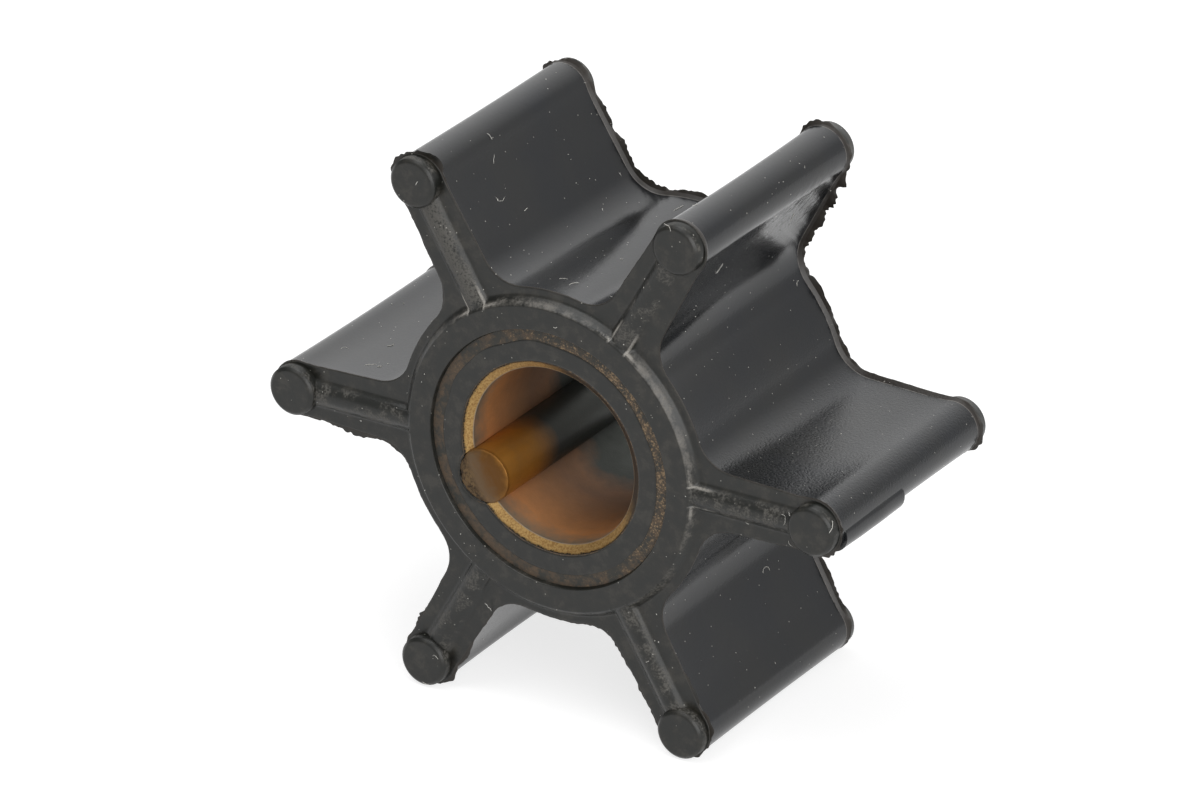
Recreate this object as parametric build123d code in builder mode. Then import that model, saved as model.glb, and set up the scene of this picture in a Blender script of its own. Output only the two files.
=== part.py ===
from build123d import *

import math
import os

# A flexible pump impeller: a rubber hub with radial vanes, moulded onto a metal bush whose
# bore holds a round drive key. The pump shaft's axis is Y and the front end faces -Y.
# The impeller stands on the tips of two vanes, so vanes point straight out along X.
# The origin is the middle of the bore. All sizes are millimetres.

# Whole impeller
outer_diameter = 44.5
length_over_buttons = 19.94
vane_count = 6

# Metal bush and its drive key. The bush stands out past the end faces, and the key past the bush.
bore_diameter = 12.7
bush_wall = 2.9
bush_step = 0.37
bore_bevel = 0.62
bore_bevel_depth = 0.45
key_diameter = 3.9
key_reach = 2.3
key_angle = 207.0
key_step = 0.08
key_end_bevel = 0.35
key_clearance = 0.01

# Rubber hub and vanes
hub_wall = 2.35
bulb_diameter = 3.5
neck_step = 0.25
root_half_thickness = 1.8
root_fillet = 3.2
neck_fillet = 2.5

# Moulding lip that stands out round each end face
lip_width = 0.5
lip_over_bulb = 0.25
lip_over_tip = 0.1
lip_neck_step = 0.05
lip_thickness = 0.25
lip_flare_length = 0.65

# Collar, ribs and buttons on each end face
collar_height = 0.7
collar_top_width = 1.55
collar_slope_width = 0.55
collar_bevel = 0.14
recess_draft = 0.2
rib_height = 0.55
rib_base_width = 2.2
rib_top_width = 1.1
button_height = 0.92
button_bevel = 0.18

# Worked out from the sizes above
outer_radius = outer_diameter / 2
button_half_length = length_over_buttons / 2
face_half_length = button_half_length - button_height
bush_half_length = face_half_length + bush_step
key_half_length = bush_half_length + key_step
bore_radius = bore_diameter / 2
bush_radius = bore_radius + bush_wall
hub_radius = bush_radius + hub_wall
key_radius = key_diameter / 2
key_centre_radius = bore_radius - key_reach + key_radius
bulb_radius = bulb_diameter / 2
bulb_centre_radius = outer_radius - bulb_radius
collar_top = face_half_length + collar_height
collar_inner_radius = bush_radius + recess_draft
collar_outer_radius = collar_inner_radius + collar_top_width
collar_foot_radius = collar_outer_radius + collar_slope_width
rib_draft = math.degrees(math.atan((rib_base_width - rib_top_width) / 2 / rib_height))
flare_start = face_half_length - lip_thickness - lip_flare_length


def impeller_outline(hub, root_half, neck_half, bulb, reach, root_round):
    """Hub disc with vanes out to `reach`; each vane ends in a bulb and is filleted at both ends."""
    bulb_centre = reach - bulb
    with BuildSketch() as outline:
        Circle(hub)
        with PolarLocations(0, vane_count):
            Polygon(
                (hub - root_half, -root_half),
                (bulb_centre, -neck_half),
                (bulb_centre, neck_half),
                (hub - root_half, root_half),
                align=None,
            )
        with PolarLocations(bulb_centre, vane_count):
            Circle(bulb)
        corners = outline.vertices()
        roots = corners.filter_by(lambda corner: Vector(*corner).length < hub + 0.001)
        necks = corners.filter_by(lambda corner: hub + 0.001 < Vector(*corner).length < bulb_centre)
        fillet(roots, root_round)
        fillet(necks, neck_fillet)
    return outline.sketch


web_outline = impeller_outline(
    hub=hub_radius,
    root_half=root_half_thickness,
    neck_half=bulb_radius - neck_step,
    bulb=bulb_radius,
    reach=outer_radius,
    root_round=root_fillet,
)
lip_outline = impeller_outline(
    hub=hub_radius + lip_width,
    root_half=root_half_thickness + lip_width,
    neck_half=bulb_radius + lip_over_bulb - lip_neck_step,
    bulb=bulb_radius + lip_over_bulb,
    reach=outer_radius + lip_over_tip,
    root_round=root_fillet - lip_width,
)

# Rubber moulding: the front half is built and mirrored
with BuildPart() as rubber_body:
    with BuildSketch(Plane.XZ):
        add(web_outline)
    extrude(amount=flare_start)

    # The sides flare out to the lip
    with BuildSketch(Plane.XZ.offset(flare_start)):
        add(web_outline)
    with BuildSketch(Plane.XZ.offset(face_half_length - lip_thickness)):
        add(lip_outline)
    loft(ruled=True)
    with BuildSketch(Plane.XZ.offset(face_half_length - lip_thickness)):
        add(lip_outline)
    extrude(amount=lip_thickness)

    # Ribs run out along the vanes, from inside the collar to inside the buttons
    with BuildSketch(Plane.XZ.offset(face_half_length)):
        rib_start = collar_inner_radius + collar_top_width / 2
        rib_length = bulb_centre_radius - rib_start
        with PolarLocations(rib_start, vane_count):
            Rectangle(rib_length, rib_base_width, align=(Align.MIN, Align.CENTER))
    extrude(amount=rib_height, taper=rib_draft)

    # Collar, sloping outside, with its top edges eased
    with BuildSketch(Plane.XY):
        with BuildLine():
            Polyline(
                (bush_radius, -face_half_length + lip_thickness),
                (bush_radius, -bush_half_length),
                (collar_inner_radius, -collar_top),
                (collar_outer_radius, -collar_top),
                (collar_foot_radius, -face_half_length),
                (collar_foot_radius, -face_half_length + lip_thickness),
                close=True,
            )
        make_face()
        chamfer(vertices().group_by(Axis.Y)[0], collar_bevel)
    revolve(axis=Axis.Y)

    # Buttons on the bulbs
    with BuildSketch(Plane.XZ.offset(face_half_length - lip_thickness)):
        with PolarLocations(bulb_centre_radius, vane_count):
            Circle(bulb_radius)
    extrude(amount=button_half_length - face_half_length + lip_thickness)
    chamfer(edges().group_by(Axis.Y)[0], button_bevel)

    mirror(about=Plane.XZ)

    # Seat of the bush
    with BuildSketch(Plane.XZ):
        Circle(bush_radius)
    extrude(amount=bush_half_length, both=True, mode=Mode.SUBTRACT)
rubber_body.part.label = "rubber_body"

# Place of the key's axis in the end plane
key_place = Vector(key_centre_radius, 0).rotate(Axis.Z, key_angle)

# Bush, bevelled at both mouths of its bore, with a groove that holds the key
with BuildPart() as hub_bushing:
    with BuildSketch(Plane.XY):
        with BuildLine():
            Polyline(
                (bush_radius, bush_half_length),
                (bore_radius + bore_bevel, bush_half_length),
                (bore_radius, bush_half_length - bore_bevel_depth),
                (bore_radius, bore_bevel_depth - bush_half_length),
                (bore_radius + bore_bevel, -bush_half_length),
                (bush_radius, -bush_half_length),
                close=True,
            )
        make_face()
    revolve(axis=Axis.Y)
    with BuildSketch(Plane.XZ):
        with Locations((key_place.X, key_place.Y)):
            Circle(key_radius + key_clearance)
    extrude(amount=button_half_length, both=True, mode=Mode.SUBTRACT)
hub_bushing.part.label = "hub_bushing"

# Round key, bevelled at both ends
with BuildPart() as drive_key:
    with BuildSketch(Plane.XZ):
        with Locations((key_place.X, key_place.Y)):
            Circle(key_radius)
    extrude(amount=key_half_length, both=True)
    chamfer(edges().filter_by(GeomType.CIRCLE), key_end_bevel)
drive_key.part.label = "drive_key"

os.makedirs("parts", exist_ok=True)
for piece in (rubber_body, hub_bushing, drive_key):
    export_step(piece.part, f"parts/{piece.part.label}.step")
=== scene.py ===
import math

import bmesh
import bpy
import numpy as np
from mathutils import Matrix, Vector


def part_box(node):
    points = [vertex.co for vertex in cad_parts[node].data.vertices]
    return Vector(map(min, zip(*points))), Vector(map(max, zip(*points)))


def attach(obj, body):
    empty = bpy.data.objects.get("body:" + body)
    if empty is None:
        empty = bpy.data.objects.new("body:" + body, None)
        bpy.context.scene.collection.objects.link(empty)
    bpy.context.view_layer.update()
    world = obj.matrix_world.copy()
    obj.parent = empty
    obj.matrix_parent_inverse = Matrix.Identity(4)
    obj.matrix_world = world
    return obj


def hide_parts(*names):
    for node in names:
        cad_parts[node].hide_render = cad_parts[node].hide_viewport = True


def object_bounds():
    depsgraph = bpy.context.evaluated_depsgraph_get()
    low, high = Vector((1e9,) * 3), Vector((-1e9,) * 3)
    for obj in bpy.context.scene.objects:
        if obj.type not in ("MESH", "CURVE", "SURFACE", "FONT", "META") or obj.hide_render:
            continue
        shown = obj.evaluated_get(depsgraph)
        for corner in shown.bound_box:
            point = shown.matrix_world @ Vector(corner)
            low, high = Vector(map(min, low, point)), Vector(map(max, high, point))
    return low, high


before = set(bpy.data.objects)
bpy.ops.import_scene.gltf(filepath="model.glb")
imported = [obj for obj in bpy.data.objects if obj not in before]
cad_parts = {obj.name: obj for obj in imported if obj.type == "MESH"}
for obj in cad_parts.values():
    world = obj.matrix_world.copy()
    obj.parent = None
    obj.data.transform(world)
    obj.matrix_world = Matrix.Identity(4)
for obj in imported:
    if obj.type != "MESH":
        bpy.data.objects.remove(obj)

# %% [markdown]
# A rubber pump impeller: six flexible vanes on a hub that is moulded onto a metal bush, with a
# round key in the bore that takes the drive. The CAD frame gives the real sizes. The first cell
# reads the few that everything else hangs from, so the dressed pieces fit the frame by themselves.

# %% Sizes taken from the frame
mm = 0.001
cad_low, cad_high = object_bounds()
rubber_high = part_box("rubber_body")[1]
bush_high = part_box("hub_bushing")[1]
key_low, key_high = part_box("drive_key")

tip_reach = rubber_high.x
button_end = rubber_high.y
bush_radius = bush_high.x
bush_end = bush_high.y
key_radius = (key_high.x - key_low.x) / 2
key_centre = ((key_high + key_low) / 2).xz
key_end = key_high.y
floor_height = cad_low.z
vane_angles = np.radians([0, 60, 120, 180, 240, 300])
print(f"tip reach {tip_reach / mm:.2f} mm, bush radius {bush_radius / mm:.2f} mm")

# %% [markdown]
# The moulding's sizes, in metres. The web is the thin part of a vane, the bulb its thick tip, and
# the neck is where they meet. Round each end face the sides step out to a lip, where the two halves
# of the mould met the end plate. A collar, ribs and buttons stand on the face.

# %% Sizes of the moulding
hub_radius = 11.6 * mm
bulb_radius = 1.75 * mm
bulb_centre = 20.5 * mm
web_root = 1.8 * mm
web_neck = 1.5 * mm
root_round = 3.2 * mm
neck_round = 11 * mm

lip_width = 0.5 * mm
lip_bulb = 2.0 * mm
lip_neck = 1.9 * mm
lip_thickness = 0.1 * mm
lip_flare = 0.28 * mm
lip_edge_round = 0.06 * mm
wall_swell = 0.5

collar_height = 0.7 * mm
collar_outer = 11.0 * mm
collar_foot = 11.55 * mm
collar_inner_foot = 0.36 * mm
collar_inner_slope = 3.5
rib_height = 0.55 * mm
rib_half_top = 0.42 * mm
rib_half_base = 1.02 * mm
rib_start = 10.0 * mm
rib_stop = bulb_centre + 1.0 * mm
ridge_height = 0.1 * mm
button_radius = 1.75 * mm
button_height = 0.92 * mm
button_bevel = 0.2 * mm
button_draft = 0.04 * mm
face_end = button_end - button_height
print(f"end faces {face_end / mm:.2f} mm from the middle, buttons {button_height / mm:.2f} mm high")

# %% [markdown]
# Every outline is one vane's half edge, mirrored and turned six times. It could be a bent curve,
# but a mould is cut in arcs that touch, so it is worked out as arcs. Each arc has a fixed number of
# steps. So the web's edge and the lip's match point for point, and a wall can go between them.

# %% Arcs that touch
def arc(centre, radius, start, stop, steps):
    """Points centre + radius * (cos a, sin a), for steps + 1 even angles a from start to stop."""
    angle = np.linspace(start, stop, steps + 1)
    return np.stack([centre[0] + radius * np.cos(angle), centre[1] + radius * np.sin(angle)], -1)


def touching_arc(start, along, circle_centre, circle_radius, radius, side):
    """Centre of the arc that touches a line on its left and a circle from outside.

    Its centre lies radius to the left of the line and circle_radius + radius from the circle's
    centre: a quadratic in the distance along the line, and side picks the root.
    """
    left = np.array([-along[1], along[0]])
    offset = start + radius * left - circle_centre
    half = offset @ along
    reach = side * math.sqrt(half**2 - offset @ offset + (circle_radius + radius) ** 2)
    return start + radius * left + (reach - half) * along


def direction(start, stop):
    """Angle of the way from start to stop."""
    return math.atan2(stop[1] - start[1], stop[0] - start[0])


print("a quarter circle in two steps:", arc((0, 0), 1, 0, math.pi / 2, 2).round(2).tolist())

# %% Half edge of a vane
edge_steps = {"valley": 9, "root": 13, "flank": 11, "neck": 7, "bulb": 13}


def half_edge(hub, root_half, neck_half, bulb, reach, fillet, steps):
    """Half of a vane's edge as points (along, across), from mid valley round to the tip.

    In turn: the hub circle, an arc, the straight flank, an arc, and the bulb's circle.
    """
    bulb_middle = np.array([reach - bulb, 0.0])
    start = np.array([hub - root_half, root_half])
    along = np.array([reach - bulb, neck_half]) - start
    along /= np.linalg.norm(along)
    left = np.array([-along[1], along[0]])
    root = touching_arc(start, along, np.zeros(2), hub, fillet, 1)
    neck = touching_arc(start, along, bulb_middle, bulb, neck_round, -1)
    root_angle = math.atan2(root[1], root[0])
    down = direction(left, np.zeros(2))
    flank_start = root - fillet * left
    flank_end = neck - neck_round * left
    flank_share = np.linspace(0, 1, steps["flank"] + 1)[:, None]
    parts = [
        arc((0, 0), hub, math.pi / 6, root_angle, steps["valley"]),
        arc(root, fillet, direction(root, np.zeros(2)), down, steps["root"]),
        flank_start + flank_share * (flank_end - flank_start),
        arc(neck, neck_round, down, direction(neck, bulb_middle), steps["neck"]),
        arc(bulb_middle, bulb, direction(bulb_middle, neck), 0, steps["bulb"]),
    ]
    return np.concatenate([parts[0]] + [part[1:] for part in parts[1:]])


def lip_edge(steps, inset=0.0):
    """The lip's half edge, drawn in by inset all round."""
    return half_edge(
        hub_radius + lip_width - inset,
        web_root + lip_width - inset,
        lip_neck - inset,
        lip_bulb - inset,
        tip_reach - inset,
        root_round - lip_width + inset,
        steps,
    )


web_reach = bulb_centre + bulb_radius
web = half_edge(hub_radius, web_root, web_neck, bulb_radius, web_reach, root_round, edge_steps)
lip = lip_edge(edge_steps)
face_edge = lip_edge(edge_steps, lip_edge_round)
print(f"half edge: {len(web)} points, lip valley at {np.hypot(*lip[0]) / mm:.2f} mm")

# %% [markdown]
# The end faces carry a collar round the bush, a rib along each vane and a button on each bulb. They
# could be pieces of their own, but on the real part the rubber runs from one into the next, with
# small hollows that the mould leaves. So the relief is one height over the face: smooth minima round
# the top edges and smooth maxima fill the corners. Where a rib meets the collar, the mould leaves a
# fine ridge along both.

# %% Relief of an end face
def ramp(value, start, stop):
    """0 up to start, 1 from stop on and an even slope between."""
    return np.clip((value - start) / (stop - start), 0, 1)


def smooth_max(a, b, blend):
    """The larger of a and b, with a parabola over their crossing, blend wide."""
    share = np.clip(0.5 + 0.5 * (a - b) / blend, 0, 1)
    return b + (a - b) * share + blend * share * (1 - share)


def smooth_min(a, b, blend):
    """The smaller of a and b, blended in the same way."""
    return -smooth_max(-a, -b, blend)


def corner_ridges(radius, along, aside):
    """Bell curves exp(-((distance - middle) / width)**2) beside the rib and on the collar's slope."""
    beside_rib = np.exp(-((aside - 0.73 * mm) / (0.07 * mm)) ** 2)
    beside_rib = beside_rib * ramp(along, 12.9 * mm, 12.1 * mm) * ramp(along, 10.9 * mm, 11.1 * mm)
    on_collar = np.exp(-((radius - 11.17 * mm) / (0.06 * mm)) ** 2)
    on_collar = on_collar * ramp(aside, 2.4 * mm, 1.2 * mm) * ramp(aside, 0.6 * mm, 0.7 * mm)
    return ridge_height * np.maximum(beside_rib, on_collar)


def relief(along, across):
    """Height over the end face: collar, rib and button as cut-off slopes, joined by smooth maxima."""
    radius = np.hypot(along, across)
    aside = np.abs(across)
    from_button = np.hypot(along - bulb_centre, across)
    inner_slope = collar_inner_foot + (radius - bush_radius) * collar_inner_slope
    outer_slope = collar_height * (collar_foot - radius) / (collar_foot - collar_outer)
    collar = smooth_min(smooth_min(inner_slope, outer_slope, 0.09 * mm), collar_height, 0.07 * mm)
    flank = rib_height * (rib_half_base - aside) / (rib_half_base - rib_half_top)
    rib = smooth_min(flank, rib_height, 0.32 * mm)
    rib = np.minimum(rib, 3 * np.minimum(radius - rib_start, rib_stop - along))
    height = smooth_max(smooth_max(collar, rib, 0.12 * mm), 0, 0.1 * mm)
    height = height + corner_ridges(radius, along, aside)
    bevel = button_height - (from_button - button_radius + button_bevel)
    wall = (button_height - button_bevel) * (button_radius + button_draft - from_button) / button_draft
    button = np.minimum(smooth_min(bevel, button_height, 0.08 * mm), wall)
    return np.maximum(height, button)


places = {"collar": 10.4 * mm, "rib": 15 * mm, "button": bulb_centre}
print({name: round(float(relief(along, 0.0)) / mm, 2) for name, along in places.items()}, "mm high")

# %% [markdown]
# The face is cut into three patches for each vane, each a grid whose lines follow the relief: a
# strip of the hub ring, the vane, and a disc round the button. An even grid would need far more
# faces for the same crisp edges. Neighbouring patches share their edge points, so they weld.

# %% Lines of the grids
rib_lines = mm * np.array(
    [0, 0.2, 0.36, 0.45, 0.53, 0.6, 0.65, 0.69, 0.73, 0.77, 0.81, 0.9, 1.0, 1.08, 1.16, 1.32])
outer_lines = np.linspace(0, 1, 9)[1:]
ring_lines = mm * np.array(
    [9.25, 9.28, 9.31, 9.34, 9.37, 9.41, 9.47, 9.6, 9.95, 10.3, 10.6, 10.8, 10.9, 10.96, 11.02, 11.07,
     11.11, 11.15, 11.19, 11.23, 11.29, 11.37, 11.46, 11.54, 11.64, 11.76, 11.9])
button_lines = mm * np.array([0, 0.5, 0.9, 1.2, 1.4, 1.5, 1.56, 1.62, 1.68, 1.735, 1.75, 1.79])


def across_lines(half_width):
    """Line places from -half_width to half_width: fixed over the rib, and even from there outwards."""
    half_width = np.atleast_1d(half_width)[:, None]
    inner = np.broadcast_to(rib_lines, (len(half_width), len(rib_lines)))
    outer = rib_lines[-1] + outer_lines * (half_width - rib_lines[-1])
    half = np.concatenate([inner, outer], axis=1)
    return np.concatenate([-half[:, :0:-1], half], axis=1)


print(f"{across_lines(2 * mm).shape[1]} lines across a vane, {len(ring_lines)} rings round the bush")

# %% Patches of an end face
def ring_patch(hub, root_angle, valley_steps):
    """Rings from the bush to the hub's edge: the vane's lines first, then even angles over the valley."""
    radius = np.append(ring_lines, hub)[:, None]
    window = np.arcsin(across_lines(radius[:, 0] * math.sin(root_angle)) / radius)
    valley = np.linspace(root_angle, math.pi / 3 - root_angle, valley_steps + 1)[1:]
    angle = np.concatenate([window, np.broadcast_to(valley, (len(radius), len(valley)))], axis=1)
    return np.stack([radius * np.cos(angle), radius * np.sin(angle)], -1)


def vane_patch(stations, hub):
    """Lines across at each edge point. They bow: at the root with the hub's circle, and towards the
    bulb, by the square of the way, with the circle round the button."""
    across = across_lines(stations[:, 1])
    share = across / stations[:, 1:]
    root_bow = np.sqrt(hub**2 - (share * stations[0, 1]) ** 2) - stations[0, 0]
    rim = np.hypot(stations[-1, 0] - bulb_centre, stations[-1, 1])
    rim_bow = bulb_centre - stations[-1, 0] - np.sqrt(rim**2 - (share * stations[-1, 1]) ** 2)
    turn = np.linspace(0, 1, len(stations))[:, None] ** 2
    return np.stack([stations[:, :1] + (1 - turn) * root_bow + turn * rim_bow, across], -1)


def bulb_patch(last_line, bulb_edge):
    """Spokes from the bulb's centre: circles over the button, then four even steps to the border."""
    border = np.concatenate([last_line, bulb_edge[1:], bulb_edge[-2::-1] * (1, -1)])
    spoke = border - (bulb_centre, 0)
    spoke /= np.hypot(spoke[:, 0], spoke[:, 1])[:, None]
    inside = (bulb_centre, 0) + button_lines[:, None, None] * spoke
    step = np.linspace(0, 1, 5)[1:, None, None]
    outside = inside[-1] + step * (border - inside[-1])
    return np.concatenate([inside, outside])


def face_patches(edge):
    """Grids of points (along, across) that cover one vane's sixth of the face inside edge."""
    first = edge_steps["valley"]
    last = first + edge_steps["root"] + edge_steps["flank"] + edge_steps["neck"]
    hub = np.hypot(*edge[0])
    vane = vane_patch(edge[first:last + 1], hub)
    root_angle = math.atan2(edge[first][1], edge[first][0])
    return [ring_patch(hub, root_angle, 2 * first), vane, bulb_patch(vane[-1], edge[last:])]


patches = face_patches(face_edge)
print("patches:", ", ".join(f"{p.shape[0]} x {p.shape[1]}" for p in patches))

# %% [markdown]
# The patches, turned to each vane, make both end faces. The wall between them could be one straight
# sweep, but the real sides are thinnest at mid length. So each row of the wall lies part of the way
# from the web's edge to the lip's: it swells a little towards each end and then flares out.

# %% The moulding as grids
def turned(along, across, angle):
    """Places (x, z) of points given along and across a vane that points at angle."""
    x = along * math.cos(angle) - across * math.sin(angle)
    return x, along * math.sin(angle) + across * math.cos(angle)


def end_face(side):
    """All patches and their relief for all vanes; side is -1 at the front and 1 at the rear."""
    grids = []
    for angle in vane_angles:
        for patch in patches:
            along, across = patch[..., 0], patch[..., 1]
            x, z = turned(along, across, angle)
            grids.append(np.stack([x, side * (face_end + relief(along, across)), z], -1))
    return grids


def wall_depths():
    """Distances from an end face to the wall's rows, close together at the lip."""
    lip_rows = np.array([0.0, 0.03, 0.06, 0.1]) * mm
    flare_rows = lip_thickness + lip_flare * np.array([0, 0.04, 0.25, 0.5, 0.75, 0.9, 0.95, 1, 1.05, 1.1])
    middle_rows = np.linspace(flare_rows[-1], face_end, 15)[1:]
    return np.concatenate([lip_rows, flare_rows, middle_rows])


def wall_outreach(depth):
    """Share of the way from web to lip: 1 on the lip, a straight slope, then a swell that fades to 0."""
    slope = np.clip(smooth_max(1 - (depth - lip_thickness) / lip_flare, 0, 0.08), 0, 1)
    swell = wall_swell * (1 - depth / face_end) ** 2
    return swell + (1 - swell) * slope


def wall():
    """One grid round all six vanes: web edge + outreach * (lip edge - web edge), row by row."""
    depth = wall_depths()
    rows = np.concatenate([depth - face_end, (face_end - depth)[-2::-1]])
    outreach = wall_outreach(face_end - np.abs(rows))[:, None, None]
    edge = web + outreach * (lip - web)
    rounded = np.clip(1 - (face_end - np.abs(rows)) / lip_edge_round, 0, 1)[:, None, None]
    edge = edge + (1 - np.sqrt(1 - rounded**2)) * (face_edge - lip)
    full = np.concatenate([edge * (1, -1), edge[:, -2::-1]], axis=1)
    columns = []
    for angle in vane_angles:
        x, z = turned(full[:, :-1, 0], full[:, :-1, 1], angle)
        columns.append(np.stack([x, np.broadcast_to(rows[:, None], x.shape), z], -1))
    grid = np.concatenate(columns, axis=1)
    return np.concatenate([grid, grid[:, :1]], axis=1)


def seat(front_faces):
    """The bush's seat: rows between the inner circles of the two end faces."""
    rings = [grid[0] for grid in front_faces[::len(patches)]]
    ring = np.concatenate([part[:-1] for part in rings] + [rings[0][:1]])
    return np.stack([ring, ring * (1, -1, 1)])


front = end_face(-1)
grids = front + end_face(1) + [wall(), seat(front)]
print(f"moulding: {sum((g.shape[0] - 1) * (g.shape[1] - 1) for g in grids)} faces")

# %% [markdown]
# Every piece here ends as a list of grids. Their cells become faces, and points that lie together
# are welded, which closes the seams and the poles. Then all faces are turned outwards. Edges that
# turn sharply stay sharp, and open edges are counted, because there should be none.

# %% Grids into one mesh
sharp_angle = math.radians(50)


def mesh_from_grids(name, grids, weld=0.002 * mm):
    """One closed mesh: the cells of every grid as faces, with shared points welded."""
    points, faces, start = [], [], 0
    for grid in grids:
        rows, columns = grid.shape[:2]
        index = start + np.arange(rows * columns).reshape(rows, columns)
        corners = (index[:-1, :-1], index[:-1, 1:], index[1:, 1:], index[1:, :-1])
        faces.append(np.stack(corners, -1).reshape(-1, 4))
        points.append(grid.reshape(-1, 3))
        start += rows * columns
    mesh = bpy.data.meshes.new(name)
    mesh.from_pydata(np.concatenate(points), [], np.concatenate(faces))
    work = bmesh.new()
    work.from_mesh(mesh)
    bmesh.ops.remove_doubles(work, verts=work.verts, dist=weld)
    bmesh.ops.recalc_face_normals(work, faces=work.faces)
    open_edges = sum(not edge.is_manifold for edge in work.edges)
    work.to_mesh(mesh)
    work.free()
    mesh.shade_smooth()
    mesh.set_sharp_from_angle(angle=sharp_angle)
    piece = bpy.data.objects.new(name, mesh)
    bpy.context.scene.collection.objects.link(piece)
    triangles = sum(len(face.vertices) - 2 for face in mesh.polygons)
    print(f"{name}: {len(mesh.vertices)} points, {triangles} triangles, {open_edges} open edges")
    return piece


moulding = mesh_from_grids("rubber_moulding", grids)
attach(moulding, "root")
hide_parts("rubber_body")

# %% [markdown]
# Where the mould's halves meet the end plates, rubber creeps into the gap and leaves a thin torn fin
# called flash. A displaced strip would have even teeth, but real flash has stretches with none and
# others with a wide ragged edge. So the fin is a thin section carried round the lip, and its width
# is a smooth trend times a ragged noise, with big tears and small ones.

# %% The lip as a loop
fine_steps = {"valley": 24, "root": 34, "flank": 52, "neck": 12, "bulb": 34}


def lip_loop():
    """The lip's edge round all vanes as places (x, z), with u, the outward directions and the length.

    u counts half vanes round the loop, from the valley below the vane that points along X.
    """
    half = lip_edge(fine_steps)
    walked = np.append(0, np.cumsum(np.hypot(*np.diff(half, axis=0).T)))
    share = walked / walked[-1]
    full = np.concatenate([half * (1, -1), half[-2::-1]])[:-1]
    u = np.concatenate([share, 2 - share[-2::-1]])[:-1]
    u = np.concatenate([u + 2 * index for index in range(len(vane_angles))])
    loop = np.concatenate([np.stack(turned(*full.T, angle), -1) for angle in vane_angles])
    ahead = np.roll(loop, -1, axis=0) - np.roll(loop, 1, axis=0)
    outward = np.stack([ahead[:, 1], -ahead[:, 0]], -1) / np.hypot(*ahead.T)[:, None]
    return loop, u, outward, walked[-1] * 2 * len(vane_angles)


print(f"the lip is {lip_loop()[3] / mm:.0f} mm long")

# %% A torn fin
fin_section = [(0, 0.03, 0), (0.55, 0.03, 0.4), (1, 0.05, 1), (0.55, 0.1, 0.4), (0, 0.17, 0), (0, 0.03, 0)]
fin_root = -0.08 * mm


def ragged(distance, length, spacing, rng):
    """Random values from -1 to 1 at even knots round a loop, joined by straight lines."""
    count = int(length / spacing)
    knots = rng.uniform(-1, 1, count)
    return np.interp(distance / length * count, np.arange(count + 1), np.append(knots, knots[0]))


def flash(side, trend, seed):
    """A closed thin fin round one end face.

    trend lists (u, width) pairs. The section lists (reach, depth, lift): the share of the width, the
    depth in mm below the face, and the share of the curl. The floor presses the fin flat.
    """
    loop, u, outward, length = lip_loop()
    distance = np.linspace(0, length, len(loop), endpoint=False)
    rng = np.random.default_rng(seed)
    torn = 0.62 + 0.4 * ragged(distance, length, 1.6 * mm, rng)
    torn = torn + 0.32 * ragged(distance, length, 0.5 * mm, rng)
    torn = np.clip(torn + 0.22 * ragged(distance, length, 0.22 * mm, rng), 0.02, 1.3)
    places, widths = np.array(trend).T
    width = np.interp(u, places, widths) * mm * torn - 0.03 * mm
    curl = 0.25 * np.maximum(width, 0) * ragged(distance, length, 1.1 * mm, rng)
    rows = []
    for reach, depth, lift in fin_section:
        place = loop + (np.where(reach > 0, reach * width, fin_root))[:, None] * outward
        height = np.maximum(place[:, 1], floor_height)
        rows.append(np.stack([place[:, 0], side * (face_end - depth * mm - lift * curl), height], -1))
    grid = np.stack(rows)
    return np.concatenate([grid, grid[:, :1]], axis=1)


front_trend = [
    (0, 0.05), (0.65, 0.08), (0.8, 0.4), (0.95, 0.45), (1.1, 0.3), (1.3, 0.05), (1.8, 0.03), (3.3, 0.06),
    (4.7, 0.06), (4.82, 0.45), (5, 0.5), (5.18, 0.4), (5.35, 0.15), (6, 0.05), (7, 0.05), (7.25, 0.15),
    (7.35, 0.3), (7.5, 0.42), (7.62, 0.3), (7.75, 0.18), (8, 0.1), (8.55, 0.05), (8.66, 0.4), (8.76, 0.1),
    (9, 0.1), (9.15, 0.35), (9.35, 0.4), (9.45, 0.1), (10, 0.1), (10.3, 0.25), (10.7, 0.25), (10.9, 0.1),
    (11, 0.3), (11.2, 0.5), (11.36, 0.35), (11.5, 0.08), (12, 0.05)]
rear_trend = [
    (0, 0.2), (0.85, 0.2), (0.92, 0.5), (0.98, 0.4), (1.1, 0.2), (1.35, 0.03), (1.6, 0.1), (1.75, 0.3),
    (2.2, 0.35), (2.4, 0.5), (2.5, 0.9), (2.72, 0.95), (2.8, 0.35), (2.95, 0.1), (3.05, 0.35), (3.2, 0.3),
    (3.3, 0.1), (4, 0.25), (4.2, 0.4), (4.4, 0.35), (4.68, 0.4), (4.8, 0.3), (5, 0.3), (5.12, 0.6),
    (5.26, 0.65), (5.36, 0.1), (7, 0.1), (8, 0.25), (9, 0.1), (11, 0.15), (11.3, 0.3), (11.8, 0.2), (12, 0.2)]
fins = [flash(-1, front_trend, 3), flash(1, rear_trend, 8)]
print(f"two fins of {fins[0].shape[0]} x {fins[0].shape[1]} points")

# %% [markdown]
# Rubber isn't exact. A sum of a few waves in random directions gives a smooth unevenness with a
# chosen size, and the same random seed gives the same part every time. Here it shapes a lump of
# spare rubber that the mould left on the lower side of the right vane's bulb: a shell laid round
# the bulb's cylinder, whose edges dip just below the surface. It belongs to the flash.

# %% Unevenness and a lump of spare rubber
lump_thickness = 0.5 * mm


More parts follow.
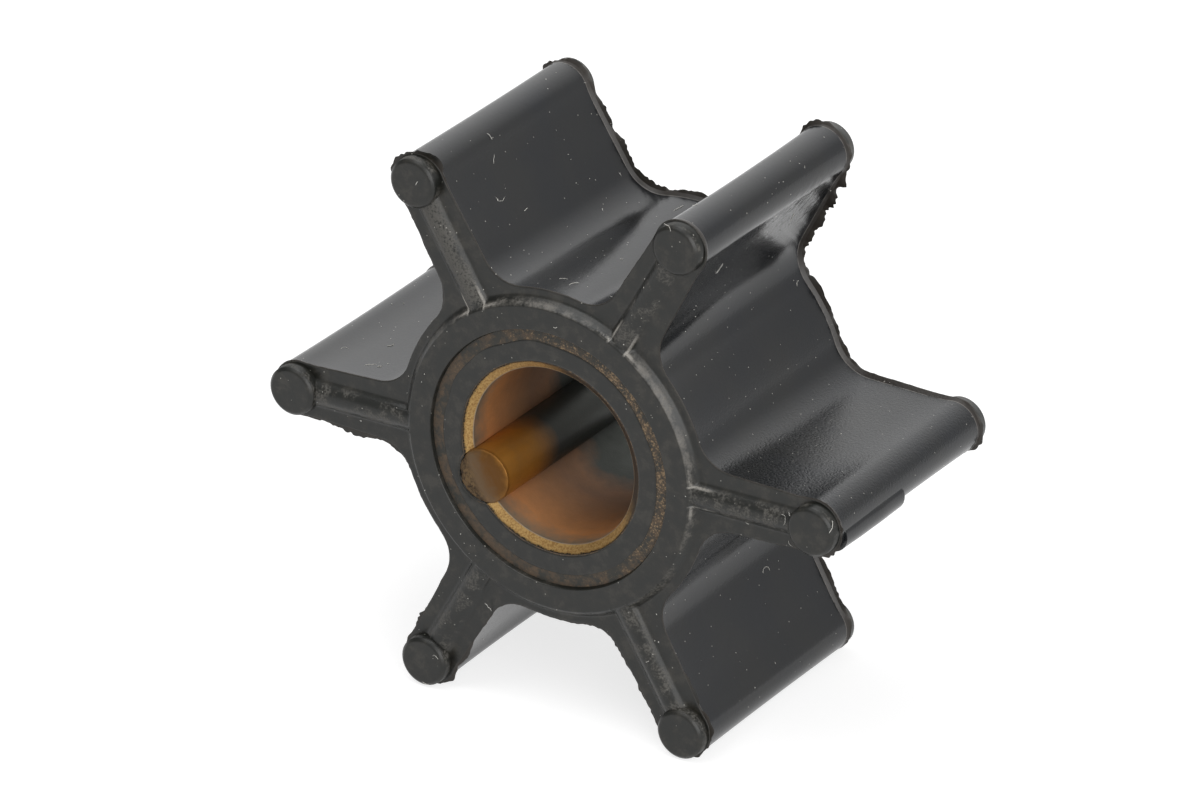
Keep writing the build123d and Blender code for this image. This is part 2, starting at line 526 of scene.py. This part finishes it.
def waves(points, size, seed, count=12):
    """Sum of count sine waves in random directions, each about size long; about -1 to 1."""
    rng = np.random.default_rng(seed)
    way = rng.normal(size=(count, 3))
    way /= np.linalg.norm(way, axis=1)[:, None] * size * rng.uniform(0.6, 1.6, count)[:, None]
    phase = rng.uniform(0, 2 * math.pi, count)
    return np.sin(2 * math.pi * points @ way.T + phase).sum(-1) / math.sqrt(count)


def spare_rubber(start, stop):
    """Radius = bulb + lump_thickness * sin(pi * s)**0.7 * waves, as s goes from 0 to 1 round 80 degrees."""
    share = np.linspace(0, 1, 25)[:, None]
    turn = np.radians(-80) * share
    y = np.concatenate([[start], np.linspace(start + 0.06 * mm, stop - 0.06 * mm, 60), [stop]])
    inside = np.full((len(share), len(y)), bulb_radius - 0.05 * mm)
    lift = lump_thickness * np.sin(math.pi * share) ** 0.7
    place = np.stack(np.broadcast_arrays(0.0 * turn, y, bulb_radius * turn), -1)
    outside = inside + lift * (0.92 + 0.06 * waves(place, 4 * mm, 12))
    outside[:, [0, -1]] = inside[:, [0, -1]]
    radius = np.concatenate([outside, inside[::-1], outside[:1]])
    angle = np.concatenate([turn, turn[::-1], turn[:1]])
    across = np.broadcast_to(y, radius.shape)
    return np.stack([bulb_centre + radius * np.cos(angle), across, radius * np.sin(angle)], -1)


fins.append(spare_rubber(-8.4 * mm, -1.0 * mm))
moulding_flash = mesh_from_grids("moulding_flash", fins)
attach(moulding_flash, "root")

# %% [markdown]
# On the real part the bush's ends are half hidden: a smooth film of rubber covers the inner part of
# each end, and between film and hub a ring of stained metal shows. It could be painted on in the
# material, but the film's edge catches light. So it is a thin ring, made by turning a section round
# the axis. Its two edges waver a little, and it dips into the metal where the key stands.

# %% Film on the bush's ends
film_inner = 7.03 * mm
film_outer = 8.41 * mm
film_below = -0.04 * mm
film_edge = 0.02 * mm
film_top = 0.05 * mm
film_rows = 16


def bush_film(side):
    """Closed ring: up the inner edge, over the top, down the outer edge and back below the face.

    The height is the smaller of the section's level and a slope that falls towards the key.
    """
    angle = np.linspace(0, 2 * math.pi, 541)
    circle = np.stack([np.cos(angle), np.sin(angle), np.full_like(angle, side)], -1)
    inner = film_inner + 0.03 * mm * waves(circle, 0.5, 4)
    outer = film_outer + 0.05 * mm * waves(circle, 0.4, 5)
    across = np.linspace(0.03, 0.96, film_rows)[:, None]
    radius = np.concatenate([[inner, inner], inner + across * (outer - inner), [outer, outer, inner]])
    edge = [film_below, film_edge]
    level = np.array(edge + [film_top] * film_rows + edge[::-1] + [film_below])[:, None]
    x, z = radius * circle[:, 0], radius * circle[:, 1]
    from_key = np.hypot(x - key_centre[0], z - key_centre[1])
    near_key = np.maximum((from_key - key_radius) * 0.4 - 0.03 * mm, film_below)
    return np.stack([x, side * (bush_end + np.minimum(level, near_key)), z], -1)


film = mesh_from_grids("bush_film", [bush_film(-1), bush_film(1)])
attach(film, "root")

# %% [markdown]
# The key is a plain round pin with worn ends. A bevelled cylinder would look new, so the rim of each
# end is a quarter of an ellipse, and a small unevenness there fades out along the pin.

# %% Key
key_rim_width = 0.8 * mm
key_rim_depth = 0.22 * mm
key_rough_length = 0.9 * mm


def key_surface(columns):
    """Pin turned round its own axis.

    At each end the radius falls by key_rim_width * (1 - (1 - s**2)**(1/2)), as s goes from 0 to 1
    over the last key_rim_depth, and the rest of the end is flat.
    """
    share = np.sin(np.linspace(0, math.pi / 2, 16))
    rounding = key_radius - key_rim_width * (1 - np.sqrt(1 - share**2))
    flat = np.linspace(rounding[-1], 0, 12)[1:]
    half_radius = np.concatenate([[key_radius, key_radius], rounding, flat])
    rim_y = key_end - key_rim_depth * (1 - share)
    half_y = np.concatenate([[0, 0.5 * key_end], rim_y, np.full(len(flat), key_end)])
    radius = np.concatenate([half_radius[::-1], half_radius[1:]])[:, None]
    y = np.concatenate([-half_y[::-1], half_y[1:]])[:, None]
    angle = np.linspace(0, 2 * math.pi, columns + 1)
    points = np.stack(np.broadcast_arrays(radius * np.cos(angle), y, radius * np.sin(angle)), -1)
    near_end = ramp(np.abs(points[..., 1]), key_end - key_rough_length, key_end)
    worn = near_end * np.minimum(waves(points, 0.6 * mm, 6) * 0.02 * mm - 0.015 * mm, 0)
    points[..., [0, 2]] *= 1 + worn[..., None] / key_radius
    points[..., 1] += 0.4 * np.sign(points[..., 1]) * worn
    return points + (key_centre[0], 0, key_centre[1])


key_pin = mesh_from_grids("key_pin", [key_surface(96)])
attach(key_pin, "root")
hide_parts("drive_key")

# %% [markdown]
# Black rubber picks up lint. A particle system could strew it, but the export wants plain meshes.
# So short curled fibres and pale specks are worked out in one array each: every one starts at a face
# picked at random by area and lies along the surface. Each has few faces.

# %% Places for lint
def faces_at_random(piece, count, rng):
    """Centres and normals of count faces, picked by area."""
    faces = piece.data.polygons
    centre, normal, area = np.empty(len(faces) * 3), np.empty(len(faces) * 3), np.empty(len(faces))
    faces.foreach_get("center", centre)
    faces.foreach_get("normal", normal)
    faces.foreach_get("area", area)
    pick = rng.choice(len(faces), count, p=area / area.sum())
    return centre.reshape(-1, 3)[pick], normal.reshape(-1, 3)[pick]


def tangents(normal, rng):
    """Two directions along the surface, square to each other, the first at random."""
    first = np.cross(normal, rng.normal(size=normal.shape))
    first /= np.linalg.norm(first, axis=1)[:, None]
    return first, np.cross(normal, first)


print("lint can start on", len(moulding.data.polygons), "faces")

# %% Fibres and specks
fibre_half = 0.019 * mm


def fibres(count, seed):
    """Thin tubes whose direction turns evenly along their length, with pointed ends."""
    rng = np.random.default_rng(seed)
    centre, normal = faces_at_random(moulding, count, rng)
    first, second = tangents(normal, rng)
    length = rng.uniform(0.3, 1.25, count) ** 1.2 * mm
    heading = rng.normal(0, 1.6, (count, 1)) * np.linspace(0, 1, 9) + rng.normal(0, 0.25, (count, 9))
    step = length[:, None, None] / 8 * np.stack([np.cos(heading), np.sin(heading)], -1)
    path = np.cumsum(step, axis=1)
    spine = centre[:, None] + path[..., :1] * first[:, None] + path[..., 1:] * second[:, None]
    aside = -np.sin(heading)[..., None] * first[:, None] + np.cos(heading)[..., None] * second[:, None]
    thick = fibre_half * rng.uniform(0.7, 1.3, (count, 1)) * np.array([0, 1, 1, 1, 1, 1, 1, 1, 0])
    angle = np.linspace(0, 2 * math.pi, 6)
    upward = (np.sin(angle)[:, None] + 0.8) * normal[:, None, None]
    ring = np.cos(angle)[:, None] * aside[:, :, None] + upward
    return list(spine[:, :, None] + thick[..., None, None] * ring)


def specks(count, seed):
    """Small flat lumps: squashed spheres of uneven width, half sunk in the surface."""
    rng = np.random.default_rng(seed)
    centre, normal = faces_at_random(moulding, count, rng)
    first, second = tangents(normal, rng)
    size = rng.uniform(0.015, 0.05, count)[:, None, None, None] * mm
    tilt = np.linspace(0, math.pi, 6)[:, None]
    angle = np.linspace(0, 2 * math.pi, 8)
    lump = 1 + 0.35 * rng.uniform(-1, 1, (count, 6, 7))
    lump = np.concatenate([lump, lump[..., :1]], axis=-1)[..., None]
    lump[:, [0, -1]] = 1
    sphere = np.broadcast_arrays(np.sin(tilt) * np.cos(angle), np.sin(tilt) * np.sin(angle), np.cos(tilt))
    local = np.stack(sphere, -1) * lump * rng.uniform(0.5, 1.4, (count, 1, 1, 3)) * size
    frames = np.stack([first, second, normal], 1)[:, None, None]
    return list(centre[:, None, None] + (local[..., None, :] @ frames)[..., 0, :])


lint = mesh_from_grids("lint", fibres(110, 21) + specks(330, 22), weld=0.0004 * mm)
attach(lint, "root")

# %% [markdown]
# Shader maths reads best as plain sums. This class wraps a node's output, so that 1 - mask or
# grain * 0.2 adds the Math nodes by itself, and one method makes every other node.

# %% Shader helpers
class Value:
    """A node output that can be written in sums."""

    def __init__(self, finish, out):
        self.finish = finish
        self.out = out

    def _math(self, operation, *values):
        return self.finish.node("ShaderNodeMath", {"operation": operation}, dict(enumerate(values)))

    def __add__(self, other):
        return self._math("ADD", self, other)

    def __radd__(self, other):
        return self._math("ADD", other, self)

    def __sub__(self, other):
        return self._math("SUBTRACT", self, other)

    def __rsub__(self, other):
        return self._math("SUBTRACT", other, self)

    def __mul__(self, other):
        return self._math("MULTIPLY", self, other)

    def __rmul__(self, other):
        return self._math("MULTIPLY", other, self)

    def __truediv__(self, other):
        return self._math("DIVIDE", self, other)

    def __rtruediv__(self, other):
        return self._math("DIVIDE", other, self)

    def __pow__(self, other):
        return self._math("POWER", self, other)

    def __rpow__(self, other):
        return self._math("POWER", other, self)


class Finish:
    """The nodes of one material, or of the world."""

    def __init__(self, owner):
        owner.use_nodes = True
        self.name = owner.name
        self.tree = owner.node_tree
        self.tree.nodes.clear()

    def node(self, kind, settings=None, inputs=None, output=0):
        """Adds a node: settings first, then the values or links of its inputs, by name or number."""
        made = self.tree.nodes.new(kind)
        for key, value in (settings or {}).items():
            setattr(made, key, value)
        for key, value in (inputs or {}).items():
            if isinstance(value, Value):
                self.tree.links.new(value.out, made.inputs[key])
            else:
                made.inputs[key].default_value = value
        return Value(self, made.outputs[output]) if len(made.outputs) else made

    def place(self):
        """The point on the object, in metres."""
        return self.node("ShaderNodeTexCoord", output="Object")

    def noise(self, size, detail=2.0, roughness=0.5):
        """Noise from 0 to 1, with features about size metres across."""
        inputs = {"Vector": self.place(), "Scale": 1 / size, "Detail": detail, "Roughness": roughness}
        return self.node("ShaderNodeTexNoise", inputs=inputs, output="Fac")

    def between(self, value, low, high):
        """0 below low, 1 above high and an even slope between."""
        inputs = {"Value": value, "From Min": low, "From Max": high}
        return self.node("ShaderNodeMapRange", {"clamp": True}, inputs)

    def band(self, value, rise, fall):
        """0 outside, 1 inside, with an even slope over rise and one over fall, each a (low, high) pair."""
        return self.between(value, *rise) * (1 - self.between(value, *fall))

    def mix(self, share, first, second):
        """Colour between first and second."""
        links = {"Factor": share, 6: first, 7: second}
        return self.node("ShaderNodeMix", {"data_type": "RGBA"}, links, output=2)

    def count_nodes(self):
        """Prints how many nodes there are so far."""
        print(f"{self.name}: {len(self.tree.nodes)} nodes")

    def finished(self, surface, kind="Material"):
        """Links the surface to the output of a material or a world."""
        self.node(f"ShaderNodeOutput{kind}", inputs={"Surface": surface})
        self.count_nodes()


def colour(red, green, blue):
    """A colour for a socket, in linear light."""
    return (red, green, blue, 1)


def part_places(finish):
    """Distance from the axis, distance from the middle towards either end, and x, y and z."""
    place = finish.place()
    x, y, z = (finish.node("ShaderNodeSeparateXYZ", inputs={0: place}, output=axis) for axis in "XYZ")
    outward = finish.node("ShaderNodeMath", {"operation": "ABSOLUTE"}, {0: y})
    return (x * x + z * z) ** 0.5, outward, x, y, z


print("a Finish can make:", [name for name in vars(Finish) if not name.startswith("_")])

# %% [markdown]
# The rubber is nearly black, and most of what is seen of it is reflected light. So its colour stays
# very dark, and a fine grain in the bump and the roughness does most of the work. The sides are
# bluish, and the end faces browner and dustier, so the height above the face picks the colours.

# %% Black rubber: sides and faces
rubber = bpy.data.materials.new("black_rubber")
finish = Finish(rubber)
radius, outward, x, y, z = part_places(finish)
above = outward - face_end
cloud = finish.noise(5 * mm, 3)
blotch = finish.noise(1.1 * mm, 4, 0.6)
grain = finish.noise(0.16 * mm, 2)
flecks = blotch + grain * 0.3
on_face = finish.between(above, -0.3 * mm, -0.1 * mm)

blue_black, grey_black = colour(0.0046, 0.0060, 0.0085), colour(0.0085, 0.0090, 0.0092)
green_black, brown_black = colour(0.0045, 0.0052, 0.0036), colour(0.0125, 0.0115, 0.0085)
side_shade = finish.mix(finish.between(cloud, 0.35, 0.65), blue_black, grey_black)
face_shade = finish.mix(finish.between(blotch, 0.4, 0.62), green_black, brown_black)
face_shade = finish.mix(finish.between(flecks, 0.68, 0.84), face_shade, colour(0.026, 0.024, 0.019))
shade = finish.mix(on_face, side_shade, face_shade)
finish.count_nodes()

# %% [markdown]
# The lip's torn edge is a little browner than the sides. Below it, at the rear, a thin pale line
# where the lip meets the side is a painted highlight. Both are bands of height, and both leave out
# the bush's seat.

# %% Black rubber: the lip
off_bush = finish.between(radius, 11.5 * mm, 11.6 * mm)
edge = finish.band(above, (-0.39 * mm, -0.36 * mm), (-0.03 * mm, 0.0)) * off_bush
shade = finish.mix(edge * (0.3 + blotch * 0.8), shade, colour(0.026, 0.020, 0.015))
# A thin pale line where the lip meets the side, at the rear: a painted highlight.
crease_highlight = finish.band(above, (-0.44 * mm, -0.41 * mm), (-0.38 * mm, -0.35 * mm)) * off_bush
crease_highlight = crease_highlight * finish.between(blotch, 0.35, 0.5) * finish.between(y, 0.0, 1 * mm)
shade = finish.mix(crease_highlight, shade, colour(0.13, 0.12, 0.11))
finish.count_nodes()

# %% [markdown]
# What stands up gets rubbed: the slopes of collar and ribs are scuffed to a dusty grey, and the rib
# of the upper left vane is rubbed most. The collar's slope on the upper right, towards the light, is
# painted paler: a painted highlight mixed with dust. Fine pale lines along the ridges at the ribs'
# feet are painted highlights. To find a rib on any vane, the angle round the axis is wrapped into one
# sixth of a turn.

# %% Black rubber: scuffs and painted highlights
raised = finish.band(above, (0.08 * mm, 0.3 * mm), (0.6 * mm, 0.68 * mm))
raised = raised * finish.between(radius, 9.4 * mm, 9.6 * mm)
cos_60, sin_60 = 0.5, 0.866
worn_rib = finish.between(z * sin_60 - x * cos_60, 11 * mm, 12 * mm)
worn_rib = worn_rib * finish.band(x * sin_60 + z * cos_60, (-0.9 * mm, -0.3 * mm), (0.3 * mm, 1.0 * mm))
scuff = raised * finish.between(blotch + worn_rib * 0.2, 0.46, 0.58)
scuff = scuff * finish.between(grain + worn_rib * 0.1, 0.42, 0.6)
shade = finish.mix(scuff * 0.8, shade, colour(0.10, 0.095, 0.085))

angle = finish.node("ShaderNodeMath", {"operation": "ARCTAN2"}, {0: z, 1: x})
angle = finish.node("ShaderNodeMath", {"operation": "WRAP"}, {0: angle, 1: math.pi / 6, 2: -math.pi / 6})
sine = finish.node("ShaderNodeMath", {"operation": "SINE"}, {0: angle})
aside = finish.node("ShaderNodeMath", {"operation": "ABSOLUTE"}, {0: radius * sine})
upper_right = x * 0.5 + z
# The collar's slope towards the upper right, where light falls, is painted paler: a painted highlight mixed
# with dust.
slope = finish.band(radius, (10.6 * mm, 10.9 * mm), (11.8 * mm, 12.2 * mm))
slope = slope * finish.band(above, (0.25 * mm, 0.4 * mm), (0.66 * mm, 0.7 * mm))
slope = slope * finish.between(upper_right, 0.0, 7 * mm) * finish.between(flecks, 0.5, 0.9)
slope = slope * finish.between(aside, 0.6 * mm, 1.1 * mm)
shade = finish.mix(slope, shade, colour(0.15, 0.14, 0.125))

# Pale lines along the ridges at the ribs' feet, at the front and towards the upper right: painted highlights.
rib_line = finish.band(aside, (0.62 * mm, 0.68 * mm), (0.78 * mm, 0.84 * mm))
rib_line = rib_line * finish.band(radius, (10.9 * mm, 11.1 * mm), (12.1 * mm, 13.0 * mm))
ring_line = finish.band(radius, (11.08 * mm, 11.12 * mm), (11.22 * mm, 11.26 * mm))
ring_line = ring_line * finish.band(aside, (0.6 * mm, 0.7 * mm), (1.2 * mm, 2.2 * mm))
ridge_highlight = (rib_line + ring_line) * finish.between(upper_right, -4 * mm, 4 * mm)
ridge_highlight = ridge_highlight * (1 - finish.between(y, -1 * mm, 0.0)) * finish.between(flecks, 0.5, 0.72)
ridge_highlight = ridge_highlight * finish.between(above, 0.15 * mm, 0.25 * mm)
shade = finish.mix(ridge_highlight, shade, colour(0.27, 0.255, 0.23))
finish.count_nodes()

# %% [markdown]
# Fine dust shows as pale dots, one near the centre of some Voronoi cells. The upper side of the
# right vane is duller and grainier than the others, and on the second vane, near its rear end, the
# skin is wrinkled. Both are masks of place that only change the bump and the roughness.

# %% Black rubber: dust, grain and gloss
voronoi = {"Vector": finish.place(), "Scale": 1 / (0.75 * mm)}
dots = finish.node("ShaderNodeTexVoronoi", inputs=voronoi, output="Distance")
shade = finish.mix(1 - finish.between(dots, 0.045, 0.065), shade, colour(0.32, 0.31, 0.28))

matte = finish.between(x, 11.3 * mm, 13 * mm) * (1 - on_face)
matte = matte * finish.band(z, (0.2 * mm, 0.8 * mm), (5.0 * mm, 6.5 * mm))
wrinkle_centre = (10.7 * mm, 2.6 * mm, 15.3 * mm)
squash = {0: finish.place(), 1: (1, 0.5, 1)}
stretched = finish.node("ShaderNodeVectorMath", {"operation": "MULTIPLY"}, squash)
from_wrinkles = finish.node(
    "ShaderNodeVectorMath", {"operation": "DISTANCE"}, {0: stretched, 1: wrinkle_centre}, output="Value")
wrinkles = finish.noise(0.55 * mm, 2, 0.5) * (1 - finish.between(from_wrinkles, 1.4 * mm, 3.2 * mm))
height = grain * (1.0 + raised + matte * 2.4) + blotch * 0.9 + cloud + wrinkles * 8
bump = finish.node(
    "ShaderNodeBump", inputs={"Strength": 0.35, "Distance": 0.02 * mm, "Height": height}, output="Normal")
gloss = 0.13 + grain * 0.12 + blotch * 0.06
gloss = gloss + on_face * 0.14 + edge * 0.15 + scuff * 0.3 + matte * 0.06
surface = finish.node(
    "ShaderNodeBsdfPrincipled",
    inputs={"Base Color": shade, "Roughness": gloss, "Normal": bump, "IOR": 1.5})
finish.finished(surface)
for piece in (moulding, moulding_flash, film):
    piece.data.materials.append(rubber)

# %% [markdown]
# The brass carries stains from use, and shade is painted into the bore. Along the bore it runs from
# orange brown at the front, darker deeper in, to a dull dark grey towards the rear: painted shade.
# The narrow bevel at its mouth is still bright, and the ring beside the film is speckled. All of
# these are places on one turned part, so distance from the axis and depth from its end pick them.

# %% Stained brass with painted shade: helpers and places on the bush
def streaks_and_painted_shade(finish, y, border, warm, dull):
    """Warm colour in front and dull painted shade towards the rear, with a cloudy border between."""
    cloud = finish.noise(4 * mm, 4, 0.6)
    share = finish.between(y + cloud * border, 0.0, 2.6 * mm)
    streak = finish.between(finish.noise(1.2 * mm, 4, 0.65), 0.3, 0.7)
    return finish.mix(share, finish.mix(streak * 0.2, warm, dull), dull)


def metal(finish, shade, gloss, metallic, height):
    """The closing nodes of a metal."""
    inputs = {"Strength": 0.5, "Distance": 0.03 * mm, "Height": height}
    normal = finish.node("ShaderNodeBump", inputs=inputs, output="Normal")
    inputs = {"Base Color": shade, "Roughness": gloss, "Metallic": metallic, "Normal": normal}
    finish.finished(finish.node("ShaderNodeBsdfPrincipled", inputs=inputs))


bush_metal = bpy.data.materials.new("brass_stained_and_shaded")
finish = Finish(bush_metal)
radius, outward, x, y, z = part_places(finish)
depth = bush_end - outward
fine = finish.noise(0.14 * mm, 3, 0.6)
blotch = finish.noise(0.7 * mm, 4, 0.65)
in_bore = 1 - finish.between(radius, 6.37 * mm, 6.41 * mm)
on_end = 1 - finish.between(depth, 0.004 * mm, 0.02 * mm)
# How far a point lies towards the upper right, from about -1 to 1.
bush_upper_right = (x + z * 0.6) / bush_radius
finish.count_nodes()

# %% Stained brass of the bush, with painted shade in the bore
bevel = finish.mix(finish.between(fine, 0.35, 0.6), colour(0.24, 0.13, 0.04), colour(0.42, 0.27, 0.10))
pitted = finish.between(radius + fine * 0.3 * mm + blotch * 0.25 * mm, 7.1 * mm, 7.2 * mm)
bevel = finish.mix(pitted, bevel, colour(0.015, 0.012, 0.008))
# The bevel is darker towards the upper right.
bevel = finish.mix(finish.between(bush_upper_right + blotch * 0.2, 0.45, 0.7), bevel, colour(0.045, 0.040, 0.032))

# Deeper in the bore the orange brown darkens, and further back it turns to dull grey: painted shade.
towards_rear = finish.between(y, -8.5 * mm, -2 * mm)
warm = finish.mix(towards_rear, colour(0.74, 0.34, 0.12), colour(0.26, 0.14, 0.075))
bore = streaks_and_painted_shade(finish, y - 2.8 * mm, 6 * mm, warm, colour(0.064, 0.070, 0.062))
rim_dull = 1 - finish.between(depth + blotch * 1.8 * mm, 1.3 * mm, 3.2 * mm)
bore = finish.mix(rim_dull * 0.9, bore, colour(0.20, 0.19, 0.15))

ring = finish.between(blotch, 0.4, 0.62)
ring = finish.mix(ring, colour(0.035, 0.034, 0.029), colour(0.10, 0.070, 0.046))
golden = finish.between(fine + blotch * 0.5 + bush_upper_right * 0.1, 0.86, 1.02)
ring = finish.mix(golden, ring, colour(0.30, 0.21, 0.12))
shade = finish.mix(on_end, finish.mix(in_bore, bevel, bore), ring)
gloss = 0.34 + blotch * 0.2 + on_end * 0.15 + in_bore * 0.08
metal(finish, shade, gloss, 0.75 - on_end * 0.45 - in_bore * 0.1, fine * 0.6 + blotch * on_end)
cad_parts["hub_bushing"].data.materials.clear()
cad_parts["hub_bushing"].data.materials.append(bush_metal)

# %% [markdown]
# The key's brass turns to the same painted shade as the bore, but its border lies further forward.
# Its front end is a worn brown with a greyer patch on the side towards the bush, and the rim there
# is dark and pitted.

# %% Brass of the key, with painted shade
pin_metal = bpy.data.materials.new("key_brass")
finish = Finish(pin_metal)
radius, outward, x, y, z = part_places(finish)
fine = finish.noise(0.14 * mm, 3, 0.6)
blotch = finish.noise(0.6 * mm, 4, 0.65)
# Towards the rear the key turns to the dull grey of painted shade.
shade = streaks_and_painted_shade(finish, y + 4.6 * mm, 2 * mm, colour(0.43, 0.19, 0.026), colour(0.055, 0.058, 0.052))

on_end = finish.between(outward + blotch * 0.3 * mm, key_end - 0.35 * mm, key_end + 0.1 * mm)
grey_share = finish.between(radius + blotch * 1.2 * mm, 5.9 * mm, 7.0 * mm)
end_shade = finish.mix(grey_share, colour(0.12, 0.050, 0.008), colour(0.13, 0.082, 0.043))
shade = finish.mix(on_end, shade, end_shade)

low_rim = finish.between(radius + blotch * 0.9 * mm, 7.0 * mm, 7.5 * mm)
low_rim = low_rim * finish.between(outward, key_end - 0.9 * mm, key_end - 0.4 * mm)
pits = finish.between(blotch + fine * 0.4, 0.6, 0.8)
rough = finish.mix(pits, colour(0.03, 0.018, 0.009), colour(0.15, 0.095, 0.045))
shade = finish.mix(low_rim, shade, rough)
metal(finish, shade, 0.36 + blotch * 0.2 + low_rim * 0.1, 0.7, fine * 0.5 + low_rim * blotch * 3)
key_pin.data.materials.append(pin_metal)

# %% [markdown]
# Lint is pale and dull, and no two fibres have quite the same tone, so a coarse noise picks it.

# %% Pale lint
lint_shade = bpy.data.materials.new("pale_lint")
finish = Finish(lint_shade)
shade = finish.mix(finish.noise(0.5 * mm), colour(0.42, 0.40, 0.36), colour(0.75, 0.74, 0.70))
finish.finished(finish.node("ShaderNodeBsdfPrincipled", inputs={"Base Color": shade, "Roughness": 0.8}))
lint.data.materials.append(lint_shade)

# %% [markdown]
# The setting is a plain white studio. A white floor would light the vanes' lower sides too much, so
# only the camera and reflections see it glow, and to all other light it is grey paper, which keeps
# the object's shadow.

# %% Floor
floor_half = 1.5


def ray_kinds(finish):
    """Whether a ray comes from the camera, a reflection or a clear body, as values of 0 or 1."""
    kinds = ("Is Camera Ray", "Is Glossy Ray", "Is Transmission Ray")
    return [finish.node("ShaderNodeLightPath", output=kind) for kind in kinds]


floor_mesh = bpy.data.meshes.new("floor")
ways = [(-1, -1), (1, -1), (1, 1), (-1, 1)]
corners = [(way_x * floor_half, way_y * floor_half, floor_height) for way_x, way_y in ways]
floor_mesh.from_pydata(corners, [], [(0, 1, 2, 3)])
floor = bpy.data.objects.new("floor", floor_mesh)
bpy.context.scene.collection.objects.link(floor)

paper = bpy.data.materials.new("white_paper")
finish = Finish(paper)
camera_ray, glossy_ray, through_ray = ray_kinds(finish)
white = colour(1, 1, 1)
glow = finish.node("ShaderNodeEmission", inputs={"Color": white, "Strength": 0.64 + camera_ray * 0.11})
matt = finish.node("ShaderNodeBsdfDiffuse", inputs={"Color": colour(0.42, 0.42, 0.42)})
both = finish.node("ShaderNodeAddShader", inputs={0: glow, 1: matt})
seen = camera_ray + glossy_ray + through_ray
finish.finished(finish.node("ShaderNodeMixShader", inputs={0: seen, 1: matt, 2: both}))
floor_mesh.materials.append(paper)

# %% [markdown]
# The sky is white to the camera and a dim even light to everything else. Reflections see one of
# their own, as a studio has light and dark walls: dark to the far left, grey elsewhere, and bright
# high up behind the object, which gives the sides of the vanes their broad glints.

# %% Sky
world = bpy.data.worlds.new("studio")
bpy.context.scene.world = world
finish = Finish(world)
camera_ray, glossy_ray, through_ray = ray_kinds(finish)
toward = finish.node("ShaderNodeTexCoord", output="Generated")
toward_x = finish.node("ShaderNodeSeparateXYZ", inputs={0: toward}, output="X")
bright_way = Vector((-0.34, 0.75, 0.56)).normalized()
facing = finish.node(
    "ShaderNodeVectorMath", {"operation": "DOT_PRODUCT"}, {0: toward, 1: bright_way}, output="Value")
wall_tone = 0.3 + finish.between(toward_x, -0.75, -0.35) * 0.4 + finish.between(facing, 0.6, 0.98) * 0.85
even_sky, white_sky, walls = (
    finish.node("ShaderNodeBackground", inputs={"Color": white, "Strength": strength})
    for strength in (0.5, 1.0, wall_tone))
unseen = finish.node("ShaderNodeMixShader", inputs={0: glossy_ray + through_ray, 1: even_sky, 2: walls})
sky = finish.node("ShaderNodeMixShader", inputs={0: camera_ray, 1: unseen, 2: white_sky})
finish.finished(sky, "World")

# %% [markdown]
# Two broad lamps give the soft shadows: one from the right and the front, and one from above. A sun
# or a spot would make hard edges.

# %% Lamps
def softbox(name, toward, distance, size, brightness):
    """A square area lamp in a direction from the object, facing it; brightness 1 looks white."""
    way = Vector(toward).normalized()
    light = bpy.data.lights.new(name, "AREA")
    light.size = size
    light.energy = brightness * math.pi * size**2
    holder = bpy.data.objects.new(name, light)
    holder.location = way * distance
    holder.rotation_mode = "QUATERNION"
    holder.rotation_quaternion = way.to_track_quat("Z", "Y")
    holder.visible_camera = False
    bpy.context.scene.collection.objects.link(holder)
    print(f"{name}: {light.energy:.2f} W from {distance} m")


softbox("top_softbox", (-0.15, -0.2, 0.97), 0.8, 0.6, 2.3)
softbox("side_softbox", (0.76, -0.5, 0.42), 0.7, 0.6, 2.7)

# %% [markdown]
# The camera stands where the photographer did: 33 degrees round to the right and 26 degrees up,
# six tenths of a metre away with a long lens, and leaning by less than a degree. Its place was
# worked out from the circles of the bore and the places of the six buttons.

# %% Camera
azimuth, elevation, roll = math.radians(32.951), math.radians(25.683), math.radians(0.763)
distance = 611.42 * mm
focal_pixels, frame_pixels = 9104.5, 1200
sensor_width = 36
level = math.cos(elevation)
back = Vector((math.sin(azimuth) * level, -math.cos(azimuth) * level, math.sin(elevation)))
right = Vector((math.cos(azimuth), math.sin(azimuth), 0))
up = back.cross(right)
target = right * (-1.738 * mm) + up * (0.400 * mm)
camera_data = bpy.data.cameras.new("camera")
camera_data.sensor_width = sensor_width
camera_data.lens = sensor_width * focal_pixels / frame_pixels
camera_data.clip_start, camera_data.clip_end = 0.05, 20
camera = bpy.data.objects.new("camera", camera_data)
axes = Matrix((right, up, back)).transposed().to_4x4()
camera.matrix_world = Matrix.Translation(target + back * distance) @ axes @ Matrix.Rotation(-roll, 4, "Z")
bpy.context.scene.collection.objects.link(camera)
bpy.context.scene.camera = camera
print("camera at", [round(value / mm, 1) for value in camera.location])

# %% [markdown]
# Last, the picture keeps its colours as they are written, and the box of the CAD model is printed.

# %% Finish
bpy.context.scene.view_settings.view_transform = "Standard"
print("CAD box", [round(v / mm, 2) for v in (*cad_low, *cad_high)])
